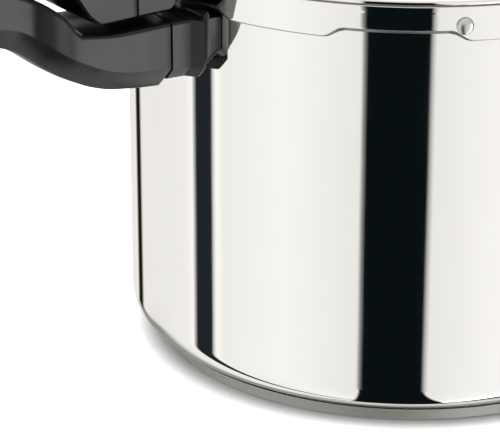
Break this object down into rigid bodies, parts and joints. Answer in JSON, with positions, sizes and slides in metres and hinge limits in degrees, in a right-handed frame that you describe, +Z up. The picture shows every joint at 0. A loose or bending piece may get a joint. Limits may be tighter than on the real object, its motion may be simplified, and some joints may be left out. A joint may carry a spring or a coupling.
{
  "type": "stovetop pressure cooker",
  "caption": "Tall polished steel pressure cooker with a clad base, a lugged lid that turns to lock, long black handles, a helper handle and a weighted regulator.",
  "frame": {"origin": "centre of the flat underside of the base, on the pot's axis", "axes": "+Z up along the pot's axis, -X out along the long handles, +X out along the helper handle"},
  "size_m": [0.434, 0.2288, 0.221],
  "materials": {
    "mirror_steel": "mirror-polished stainless steel",
    "brushed_steel": "fine brushed stainless steel",
    "bracket_steel": "satin pressed stainless steel",
    "screw_steel": "bright machined steel",
    "core_aluminium": "satin aluminium",
    "phenolic": "black moulded phenolic with a low sheen",
    "cap_plastic": "black heat-resistant plastic",
    "black_rubber": "matt black rubber",
    "grey_rubber": "matt grey silicone rubber"
  },
  "bodies": {
    "pot": {"pot_body": "mirror_steel", "base_core": "core_aluminium", "base_cap": "brushed_steel", "body_handle_bracket": "bracket_steel", "body_handle_guard": "phenolic", "body_handle": "phenolic", "body_handle_screw": "screw_steel", "helper_handle_bracket": "bracket_steel", "helper_handle": "phenolic", "helper_screw_right": "screw_steel", "helper_screw_left": "screw_steel"},
    "rack": {"cooking_rack": "core_aluminium"},
    "seal": {"sealing_ring": "grey_rubber"},
    "cover": {"cover_shell": "mirror_steel", "stop_rivet": "screw_steel", "vent_pipe": "screw_steel", "vent_washer": "bracket_steel", "vent_nut": "screw_steel", "overpressure_plug": "black_rubber", "air_vent_gasket": "black_rubber", "cover_handle_bracket": "bracket_steel", "cover_handle_guard": "phenolic", "cover_handle": "phenolic", "cover_handle_screw": "screw_steel", "lever_axle": "screw_steel", "lock_pin_spring": "screw_steel"},
    "regulator": {"pressure_regulator": "mirror_steel", "regulator_cap": "cap_plastic"},
    "plunger": {"air_vent_plunger": "screw_steel"},
    "lever": {"lock_lever": "bracket_steel"},
    "pin": {"lock_pin": "screw_steel"}
  },
  "joints": [
    {"name": "rack_lift", "type": "slide", "parent": "pot", "child": "rack", "axis": [0, 0, 1], "range_m": [0, 0.12]},
    {"name": "cover_lift", "type": "slide", "parent": "pot", "child": "seal", "axis": [0, 0, 1], "range_m": [0, 0.15]},
    {"name": "cover_turn", "type": "hinge", "parent": "seal", "child": "cover", "pos_m": [0, 0, 0.16], "axis": [0, 0, -1], "range_deg": [0, 22.5]},
    {"name": "regulator_lift", "type": "slide", "parent": "cover", "child": "regulator", "axis": [0, 0, 1], "range_m": [0, 0.03]},
    {"name": "plunger_rise", "type": "slide", "parent": "cover", "child": "plunger", "axis": [0, 0, 1], "range_m": [0, 0.005]},
    {"name": "lever_rock", "type": "hinge", "parent": "cover", "child": "lever", "pos_m": [-0.11, 0, 0.1817], "axis": [0, -1, 0], "range_deg": [0, 15.7]},
    {"name": "lock_pin_drop", "type": "slide", "parent": "cover", "child": "pin", "axis": [0, 0, -1], "range_m": [0, 0.0067], "stiffness_N_per_m": 150, "deforming": ["lock_pin_spring"]}
  ],
  "couplings": [
    {"joint": "lever_rock", "follows": "plunger_rise", "rad_per_m": 54.45},
    {"joint": "lock_pin_drop", "follows": "plunger_rise", "ratio": 1.32}
  ]
}
